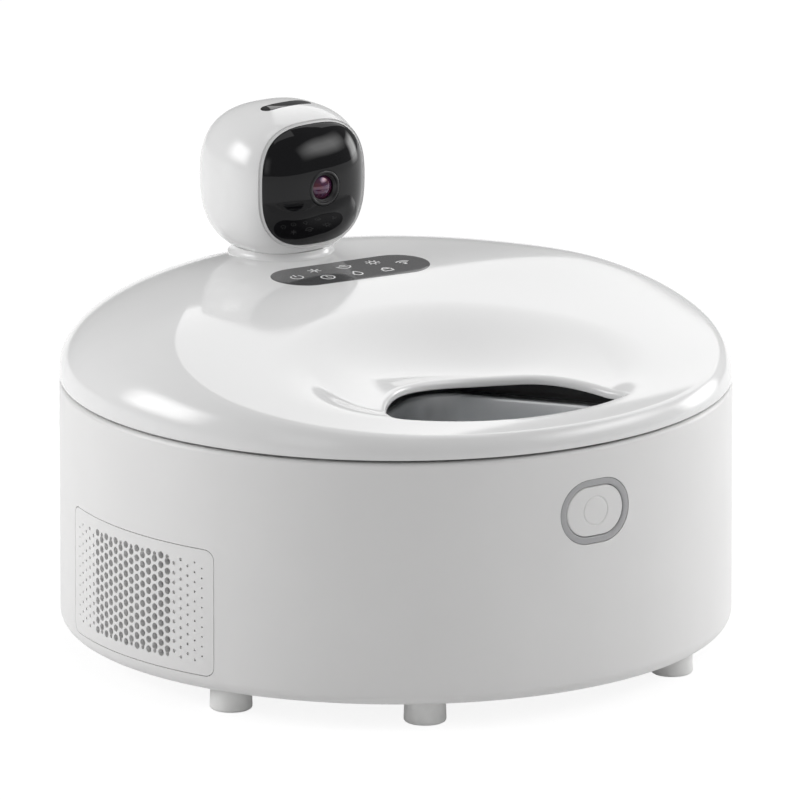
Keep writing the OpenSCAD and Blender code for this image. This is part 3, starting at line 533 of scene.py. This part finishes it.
# %% Head shell
HEAD = np.array([0.0, 99.0, 223.7])
HALF_X, HALF_Y, HALF_UP, HALF_DOWN, POWER = 38.75, 38.15, 37.25, 41.3, 2.6
HEAD_LOW = 188.25 - HEAD[2]


def half_z(z):
    """Half height of the head on the side of z: the underside reaches deeper than the crown."""
    return np.where(z > 0, HALF_UP, HALF_DOWN)


def face_depth(x, z):
    """How far the head's skin lies in front of its middle, over points of the front plane."""
    return HALF_Y * (1 - np.abs(x / HALF_X) ** POWER - np.abs(z / half_z(z)) ** POWER) ** (1 / POWER)


sweep = even_turn(192)
WINDOW_X, WINDOW_Z, WINDOW_POWER, WINDOW_RAISE = 31.6, 31.0, 2.78, 0.4


def window_ring(grow=0.0, sink=0.0):
    """The window's outline, a superellipse, grown in the front plane and laid on the skin, sunk by a depth."""
    c, d = np.cos(sweep), np.sin(sweep)
    across, upward = np.abs(c) / (WINDOW_X + grow), np.abs(d) / (WINDOW_Z + grow)
    radius = (across ** WINDOW_POWER + upward ** WINDOW_POWER) ** (-1 / WINDOW_POWER)
    x, z = radius * c, WINDOW_RAISE + radius * d
    return np.stack([x, sink - face_depth(x, z), z], -1)


ring = window_ring(0.15)
facing = np.arctan2(ring[:, 2], ring[:, 0])
tilt = np.arctan2(np.hypot(ring[:, 0], ring[:, 2]), -ring[:, 1])
t = np.linspace(0, 1, 84)[:-1, None]
psi = tilt + (np.pi - tilt) * (0.25 * t ** 2 + 0.75 * t)
way = np.stack([np.sin(psi) * np.cos(facing), -np.cos(psi), np.sin(psi) * np.sin(facing)], -1)
stretch = np.stack(np.broadcast_arrays(HALF_X, HALF_Y, half_z(way[..., 2])), -1)
skin = way / (np.abs(way / stretch) ** POWER).sum(-1, keepdims=True) ** (1 / POWER)
edge = [window_ring(*step) for step in ((-0.25, 4.0), (-0.25, 0.7), (-0.2, 0.4), (-0.08, 0.12))]
head = np.concatenate([edge, skin])
head[..., 2] = np.maximum(head[..., 2], HEAD_LOW)
piece("head_skin", (head + HEAD) * MM, "camera", "lid_white", poles=(False, True), flip=True,
      stands_for=["head_shell"], sharp=60, thick=1.6 * MM)

# %% [markdown]
# The head stands on a low collar that grows out of the lid. A turned profile makes it: a short flare, a soft
# upper edge, and a hollow for the pivot.

# %% Neck collar
flare = np.linspace(0, 1, 9)
collar = [(27.4, 37.0), (27.4, 45.0)] + [(25.5 + 1.9 * (1 - q) ** 2.6, 45.9 + 3.7 * q) for q in flare]
collar += [(25.48, 49.85), (25.4, 49.95), (25.2, 50.0), (12.2, 50.0), (12.2, 36.0)]
piece("neck_collar", lathe(collar, (0, HEAD[1], SEAM_MM), count=128), "lid", "lid_white", sharp=35)

# %% [markdown]
# The window is one sheet of smoked glass with a hole for the lens. It carries on the round of the head. Its rows
# go from the glass edge, which turns back into the shell, over the round to the rim of the lens hole.

# %% Smoked window
outline = window_ring(-0.4)[:, [0, 2]]
hole = 9.35 * toward(sweep)
share = np.linspace(0, 1, 34)[:, None, None]
sheet = outline * (1 - share) + hole * share
sheet = np.stack([sheet[..., 0], 0.1 - face_depth(sheet[..., 0], sheet[..., 1]), sheet[..., 1]], -1)
rim = [window_ring(*step) for step in ((-0.3, 3.0), (-0.3, 0.6), (-0.33, 0.25))]
lens_wall = sheet[-1] + [0, 4.0, 0]
glass = np.concatenate([rim, sheet, [lens_wall]]) + HEAD
piece("smoked_window", glass * MM, "camera", "black_gloss", stands_for=["head_face"], sharp=50)

# %% [markdown]
# The lens is a stack of turned rings: an outer ring with a bright chamfer, a black stepped cone, and a domed
# front element with a coloured coating.

# %% Lens
LENS_SINK, DOME_R, DOME_TOP, DOME_FOOT = 6.8, 9.5, 6.2, 2.4
lens_at = (0, HEAD[1] - HALF_Y + LENS_SINK, HEAD[2])
ring_profile = [(9.2, -3.0), (9.2, 6.1), (9.05, 6.45), (8.7, 6.7), (8.3, 6.75), (7.9, 6.7), (7.7, 6.4)]
ring_profile += [(7.5, 5.7), (7.2, 5.5), (7.0, 5.5), (6.8, 5.2), (6.6, 4.9), (6.3, 4.8), (6.3, 2.0)]
piece("lens_ring", lathe(ring_profile, lens_at, "y"), "camera", "black_plastic",
      stands_for=["lens_barrel"], sharp=50)
lens_r = np.array([6.2, 6.2, 6.1, 5.8, 5.0, 4.0, 3.0, 2.0, 1.0, 0.3])
dome = np.stack([lens_r, DOME_TOP - DOME_R + np.sqrt(DOME_R ** 2 - lens_r ** 2)], -1)
dome[0, 1] = DOME_FOOT
piece("lens_front", lathe(dome, lens_at, "y"), "camera", "lens", poles=(False, True),
      stands_for=["lens_glass"], sharp=60)

# %% [markdown]
# On the crown of the head lies a dark bar. It follows the curve of the crown, so it is a flat outline laid on
# the head's own formula.

# %% Crown bar
def pill(width, height, count=128):
    """Outline of a bar with round ends, run round anticlockwise with even steps."""
    r, straight = height / 2, (width - height) / 2
    length = 4 * straight + 2 * np.pi * r
    d = (np.arange(count) + 0.5) / count * length
    a1, a2 = np.pi * r, np.pi * r + 2 * straight
    q = np.where(d < a2, d, d - a2)
    arc = q < a1
    turn_by = q / r - np.pi / 2
    x = np.where(arc, straight + r * np.cos(turn_by), straight - (q - a1))
    y = np.where(arc, r * np.sin(turn_by), r)
    flip = np.where(d < a2, 1, -1)
    return np.stack([x * flip, y * flip], -1)


def crown(plan):
    """Height of the head's skin over its middle at plan points."""
    inside = 1 - np.abs(plan[..., 0] / HALF_X) ** POWER - np.abs(plan[..., 1] / HALF_Y) ** POWER
    return HALF_UP * inside ** (1 / POWER)


bar_rows = [(1.0, -0.6), (1.0, 0.0), (0.985, 0.06)] + [(k, 0.1) for k in np.linspace(0.95, 0.05, 12)]
BAR_W, BAR_D, BAR_Y = 30, 8, -4
bar = []
for shrink, rise in bar_rows:
    plan = pill(BAR_W, BAR_D) * shrink + [0, BAR_Y]
    bar.append(raised(plan, crown(plan) + rise) + HEAD)
piece("crown_bar", np.array(bar) * MM, "camera", "panel_dark", poles=(False, True),
      stands_for=["top_bar"], sharp=50, ink="black_gloss")

# %% [markdown]
# ## Control panel
# A dark printed strip lies flush in the lid in front of the head. It follows the lid's own formula, a tenth of a
# millimetre proud. Its signs are plain pictograms of this lesson's own: strokes of even width along paths.

# %% Panel strip
PANEL, PANEL_TURN, PANEL_W, PANEL_D = np.array([3.0, 43.5]), math.radians(-6), 88, 34
SKEW = np.array([
    [math.cos(PANEL_TURN), math.sin(PANEL_TURN)],
    [-math.sin(PANEL_TURN), math.cos(PANEL_TURN)],
])


def on_lid(plan, rise):
    """Plan points lifted to the lid surface plus a rise, in metres."""
    return raised(plan, SEAM_MM + lid_height(plan) + rise) * MM


strip_rows = [(1.0, -0.3), (1.0, 0.02), (0.998, 0.09), (0.993, 0.12)]
strip_rows += [(k, 0.12) for k in np.linspace(0.95, 0.02, 24)]
strip = [on_lid(pill(PANEL_W, PANEL_D, 192) * k @ SKEW + PANEL, h) for k, h in strip_rows]
piece("panel_strip", strip, "lid", "panel_dark", poles=(False, True), stands_for=["control_panel"], sharp=50)

# %% Strokes
def stroke(path, width):
    """A flat ribbon of even width along an open path of plan points."""
    path = np.asarray(path, float)
    along = np.gradient(path, axis=0)
    across = np.stack([-along[:, 1], along[:, 0]], -1) / np.linalg.norm(along, axis=1, keepdims=True)
    return np.stack([path - across * width / 2, path + across * width / 2])


def arc(radius, first, last, centre=(0, 0), count=24):
    """Points on a circle between two angles in degrees."""
    return radius * toward(np.radians(np.linspace(first, last, count))) + centre


def line(a, b):
    """Two ends joined by a straight run of points."""
    return np.linspace(a, b, 6)


def spoke(inner, outer, degrees):
    """A straight run in one direction, from one distance to another."""
    way = toward(math.radians(degrees))
    return line(inner * way, outer * way)


print("sign helpers ready")

# %% Panel signs
BOX = [(-2.6, 0.4), (2.6, 0.4), (2.6, -3), (-2.6, -3)]
MAST = (0, -2.4)
SIGNS = {
    "power": [arc(3, 125, 415), line((0, 0.6), (0, 4.2))],
    "frost": [spoke(-3.4, 3.4, a) for a in (30, 90, 150)],
    "clock": [arc(3.3, 0, 360, count=36), line((0, 0), (0, 2.2)), line((0, 0), (1.6, -0.9))],
    "bowl": [arc(3.4, 180, 360), line((-4.2, 0), (4.2, 0)), arc(1.6, 20, 160, (0, 0.6))],
    "drop": [np.concatenate([
        arc(2.3, 145, 395, (0, -0.9)), line((1.9, 0.4), (0, 3.6)), line((0, 3.6), (-1.9, 0.4)),
    ])],
    "lamp": [arc(1.7, 0, 360)] + [spoke(2.5, 3.8, a) for a in range(0, 360, 45)],
    "lock": [line(a, b) for a, b in zip(BOX, BOX[1:] + BOX[:1])] + [arc(1.8, 0, 180, (0, 0.4))],
    "radio": [arc(r, 45, 135, MAST) for r in (1.4, 3.2, 5.0)] + [arc(0.4, 0, 360, MAST)],
}
SPOTS = [(-31, 0), (-17, 7), (-17, -7), (0, 7), (0, -7), (17, 7), (17, -7), (31, 0)]
SIGN_SCALE, SIGN_LINE, SIGN_RISE = 1.05, 0.85, 0.17
PAINT["sign_white"] = moulded("sign_white", (0.85, 0.85, 0.85), 0.4, grain_depth=0.001)
for (sign, paths), spot in zip(SIGNS.items(), SPOTS):
    flat = [(np.asarray(p) * SIGN_SCALE + spot) @ SKEW + PANEL for p in paths]
    ribbons = [on_lid(stroke(p, SIGN_LINE), SIGN_RISE) for p in flat]
    piece("sign_" + sign, ribbons, "lid", "lid_white", around=False, flip=True, ink="sign_white")

# %% [markdown]
# ## Release button
# A grey ring is let into the housing and frames a satin button with a fine circle in it. Both follow the round
# wall: a point of the flat outline is pushed back onto the cylinder, plus a small height for the rounded edges.

# %% Ring
BUTTON_Z = SEAM_MM - 33
RING_W, RING_H = 42, 33


def on_wall(outline_xz, height):
    """Points of the front plane laid on the round wall, raised by a height."""
    x, z = outline_xz[..., 0], outline_xz[..., 1]
    return np.stack([x, -np.sqrt((R + height) ** 2 - x ** 2), z + BUTTON_Z], -1) * MM


ring_rows = [(0, -4), (0, -0.45), (0.12, -0.16), (0.4, -0.02), (0.9, 0)]
ring_rows += [(1.8, 0), (2.7, -0.02), (3.2, -0.2), (3.45, -0.6), (3.5, -6)]
piece("button_ring", [on_wall(pill(RING_W - 2 * i, RING_H - 2 * i), h) for i, h in ring_rows],
      "housing", "grey_plastic", stands_for=["button_bezel"], sharp=50)

# %% Button
CAP_W, CAP_H, CAP_ROUND, FACE, DISC_R = 34.4, 25.4, 0.9, -0.4, 9
GROOVE_R, GROOVE_DEPTH, GROOVE_WIDTH = 7.3, 0.45, 0.42
cap_rows = [(0, -10), (0, -1.0), (0.12, -0.68), (0.45, -0.45), (CAP_ROUND, FACE)]
cap = [on_wall(pill(CAP_W - 2 * i, CAP_H - 2 * i), h) for i, h in cap_rows]
cap_outline = pill(CAP_W, CAP_H)
disc = toward(np.arctan2(cap_outline[:, 1], cap_outline[:, 0]))
face_edge = pill(CAP_W - 2 * CAP_ROUND, CAP_H - 2 * CAP_ROUND)
cap += [on_wall(face_edge * (1 - k) + disc * DISC_R * k, FACE) for k in np.linspace(0.12, 1, 8)]
for r in np.concatenate([np.linspace(8.6, 6.2, 25), np.linspace(5.6, 0.4, 8)]):
    cap.append(on_wall(disc * r, FACE - GROOVE_DEPTH * np.exp(-((r - GROOVE_R) / GROOVE_WIDTH) ** 2)))
piece("button_cap", cap, "button", "shell_white", poles=(False, True), stands_for=["release_button"], sharp=55)

# %% [markdown]
# ## Tray and bowls
# Under the opening a black tray turns. Each place is a rounded quarter, and a drawn steel bowl with a rolled bead
# lies in it. The quarter's outline is found by walking outward from a point inside it until a test says
# outside, for all directions at once; the rest is a loft of that outline through margins and heights.

# %% Quarter outline
TRAY_R, TRAY_RIM, WALL_HALF, POINT_R, CORNER_R = 135.5, 5, 6, 30, 14
FAR, HALVINGS = 140.0, 40
look = even_turn(216)
inside_point = np.array([66.0, 66.0])


def in_quarter(p, margin):
    """True inside a quarter of the tray with a round point and round outer corners, inset by a margin."""
    r, wall = TRAY_R - TRAY_RIM - margin, WALL_HALF + margin
    point, corner = POINT_R - margin * 0.5, CORNER_R - margin * 0.4
    x, y = p[..., 0], p[..., 1]
    tip = math.sqrt((r - corner) ** 2 - (wall + corner) ** 2)
    good = (x >= wall) & (y >= wall) & (np.hypot(x, y) <= r)
    good &= ~((x < wall + point) & (y < wall + point)) | (np.hypot(x - wall - point, y - wall - point) <= point)
    for a, b in ((x, y), (y, x)):
        beyond = (a > tip) & (b * tip < a * (wall + corner))
        good &= ~beyond | (np.hypot(a - tip, b - wall - corner) <= corner)
    return good


def quarter(margin, test=in_quarter):
    """Edge of the quarter in every direction from the inside point, by halving the step to the boundary."""
    near, far = np.zeros(len(look)), np.full(len(look), FAR)
    aim_at = toward(look)
    for _ in range(HALVINGS):
        half = (near + far) / 2
        hit = test(inside_point + aim_at * half[:, None], margin)
        near, far = np.where(hit, half, near), np.where(hit, far, half)
    return inside_point + aim_at * near[:, None]


def in_sector(p, margin):
    """True in the whole quarter sector of the tray's deck, up to the round of its outer edge."""
    return (p[..., 0] >= 0) & (p[..., 1] >= 0) & (np.hypot(p[..., 0], p[..., 1]) <= TRAY_R - margin)


def turned(points, degrees):
    """Points turned about the upright axis."""
    a = math.radians(degrees)
    return points @ np.array([[math.cos(a), math.sin(a), 0], [-math.sin(a), math.cos(a), 0], [0, 0, 1]])


def loft(rows):
    """Rows of (outline, height) stacked to a grid."""
    return np.stack([raised(plan, h) for plan, h in rows])


print("quarter outline points:", len(look))

# %% Tray
TRAY_TOP, TRAY_ROUND = SEAM_MM + 4.4, 1.4
LEDGE = TRAY_TOP - 8
DECK_LOW = LEDGE - 3
REST = -math.degrees(SERVE_TURN) - 135
SHOULDER = TRAY_TOP - TRAY_ROUND
rounding = [(TRAY_ROUND * math.cos(q), TRAY_ROUND * math.sin(q)) for q in np.radians((25, 50, 72, 90))]
place_steps = [(8, DECK_LOW), (8, LEDGE - 0.6), (7.6, LEDGE - 0.1), (7, LEDGE)]
place_steps += [(0.6, LEDGE), (0.1, LEDGE + 0.2), (0, LEDGE + 0.8), (0, SHOULDER)]
place_steps += [(c - TRAY_ROUND, SHOULDER + h) for c, h in rounding]
place_rows = [(quarter(m), h) for m, h in place_steps] + [(quarter(TRAY_ROUND, in_sector), TRAY_TOP)]
decks = [turned(loft(place_rows), REST + k * 90) * MM for k in range(4)]
side = [(TRAY_R, DECK_LOW), (TRAY_R, SHOULDER)] + [(TRAY_R - TRAY_ROUND + c, SHOULDER + h) for c, h in rounding]
piece("tray", [d[::-1] for d in decks] + [lathe(side, (0, 0, 0), count=192)], "tray", "black_plastic",
      stands_for=["tray_carousel"], sharp=50, thick=2 * MM)

# %% Bowls
bowl_rows = [
    (0.7, 0.1), (0.7, 0.7), (0.9, 0.95), (1.3, 1.0), (7.6, 1.0), (8.0, 0.9), (8.3, 0.3), (8.8, 0.1),
    (9.2, 0.5), (9.6, 1.6), (10.1, 2.2), (10.7, 2.4), (11.2, 2.2), (11.6, 1.5), (11.9, 0.3), (12.4, -6),
    (13.6, -25), (14.6, -36), (15.4, -41), (16.8, -44.4), (19.0, -46.6), (22.0, -47.7), (26.0, -48.0),
    (34.0, -48.0),
]
for name, at in (("bowl_1", 0), ("bowl_2", 90), ("bowl_3", -90)):
    made = turned(loft([(quarter(m), LEDGE + h) for m, h in bowl_rows]), REST + at) * MM
    piece("steel_" + name, made, "tray", "bowl_steel", poles=(False, True),
          stands_for=[name], sharp=60, thick=0.7 * MM)

# %% [markdown]
# ## Feet
# Six short round feet of light rubber. A turned profile with a soft lower edge and a slight taper does it.

# %% Feet
FOOT_RING, FOOT_TURNS = 151.5, (-149.5, -69, -30.5, 30.5, 69, 149.5)
foot_profile = [(0.3, 0.0), (8.6, 0.0), (9.6, 0.15), (10.3, 0.6), (10.7, 1.3), (10.75, 2.2)]
foot_profile += [(10.55, 8.0), (10.5, 11.9), (4.0, 11.9), (4.0, 15.5)]
stands = [(*polar(FOOT_RING, math.radians(a)), 0) for a in FOOT_TURNS]
feet = [lathe(foot_profile, stand, count=64) for stand in stands]
piece("rubber_feet", feet, "housing", "foot_rubber", poles=(True, True), stands_for=["feet"], sharp=40)

# %% [markdown]
# ## Studio
# The photograph is a cut-out on white. A soft panel on each side makes the housing bright at its flanks and grey
# in the middle, and a big panel behind is mirrored in the polished lid, where its edge draws the bright crescent.
# Area lamps give that, most of them with a border that fades, as cloth over a frame has.

# %% Lamp helper
def soft_panel(name, where, target, size, power, feather):
    """A rectangular area lamp at a place, facing a target, in metres and watts; feather fades its border."""
    lamp = bpy.data.lights.new(name, "AREA")
    lamp.shape, lamp.size, lamp.size_y, lamp.energy = "RECTANGLE", size[0], size[1], power
    if feather:
        lamp.use_nodes = True
        tree = lamp.node_tree
        spread = make(tree, "ShaderNodeNewGeometry", output="Parametric")
        sides = [make(tree, "ShaderNodeSeparateXYZ", {}, {0: spread}, axis) for axis in "XY"]
        fade = [(s.math("MINIMUM", s, 1 - s) / feather).clamped() for s in sides]
        tree.links.new((fade[0] * fade[1]).socket, tree.nodes["Emission"].inputs[1])
    made = bpy.data.objects.new(name, lamp)
    bpy.context.scene.collection.objects.link(made)
    z = (where - target) / np.linalg.norm(where - target)
    x = np.cross((0, 0, 1) if abs(z[2]) < 0.99 else (0, 1, 0), z)
    x /= np.linalg.norm(x)
    turn_to = np.eye(4)
    turn_to[:3, 0], turn_to[:3, 1], turn_to[:3, 2], turn_to[:3, 3] = x, np.cross(z, x), z, where
    made.matrix_world = Matrix(turn_to.tolist())


print("lamp helper ready")

# %% Lamps
MIDDLE_H = 0.13
axes = np.array([right, np.array([back[0], back[1], 0]) / np.linalg.norm(back[:2]), [0, 0, 1.0]])
# Name, place to the right, towards the camera and up, aim to the right, size, watts, faded share of the border.
LAMPS = [
    ("left_panel", (-1.35, 0.1, 0.7), 0, (1.1, 0.8), 20.0, 0.3),
    ("right_panel", (1.25, 0.2, 0.95), 0, (1.7, 0.9), 21.0, 0.4),
    ("right_rear", (1.4, -0.9, 0.45), 0, (0.9, 0.9), 14.0, 0.3),
    ("front_left", (-0.7, 1.3, 0.6), 0, (0.9, 0.9), 2.3, 0.3),
    ("rear_wall", (0.74, -1.55, 1.83), 0.74, (1.9, 2.12), 18.5, 0.0),
    ("overhead", (0, 0.2, 1.6), 0, (1.0, 0.7), 2.4, 0.0),
]
for name, where, aside, size, watts, feather in LAMPS:
    soft_panel(name, np.array(where) @ axes, np.array([aside, 0, MIDDLE_H]) @ axes, size, watts, feather)
print("lamps:", len(LAMPS))

# %% [markdown]
# The floor fills the whole picture. What the camera, the gloss and clear pieces see of it is nearly white by
# itself and keeps a little of the shadow, while its light on the object stays that of plain paper.

# %% Room and floor
ROOM, PAPER, SHADE, GLOW = 0.28, 0.8, 0.2, 0.88
FLOOR_HALF, FLOOR_Z = 6, -0.1 * MM
SEEN_BY = ("Is Camera Ray", "Is Glossy Ray", "Is Transmission Ray")
world = bpy.data.worlds.new("studio")
bpy.context.scene.world = world
world.use_nodes = True
room = world.node_tree.nodes["Background"]
room.inputs[0].default_value, room.inputs[1].default_value = (1, 1, 1, 1), ROOM

floor_finish = Finish("floor")
looked_at = sum(floor_finish.node("ShaderNodeLightPath", output=kind) for kind in SEEN_BY).clamped()
paper, shade = (floor_finish.node("ShaderNodeBsdfDiffuse", {}, {0: (v, v, v, 1)}) for v in (PAPER, SHADE))
white = floor_finish.node("ShaderNodeEmission", {}, {0: (1, 1, 1, 1), 1: GLOW})
lit = floor_finish.node("ShaderNodeAddShader", {}, {0: shade, 1: white})
both = floor_finish.node("ShaderNodeMixShader", {}, {0: looked_at, 1: paper, 2: lit})
floor_finish.tree.links.new(both.socket, floor_finish.output.inputs[0])

span = np.linspace(-FLOOR_HALF, FLOOR_HALF, 3)
grid = np.stack([*np.meshgrid(span, span), np.full((3, 3), FLOOR_Z)], -1)
floor_data = bpy.data.meshes.new("floor")
floor_data.from_pydata(grid.reshape(-1, 3).tolist(), [], [[i, i + 1, i + 4, i + 3] for i in (0, 1, 3, 4)])
floor_data.materials.append(floor_finish.material)
floor = bpy.data.objects.new("floor", floor_data)
bpy.context.scene.collection.objects.link(floor)
bpy.context.scene.view_settings.view_transform = "Standard"
print("studio ready")
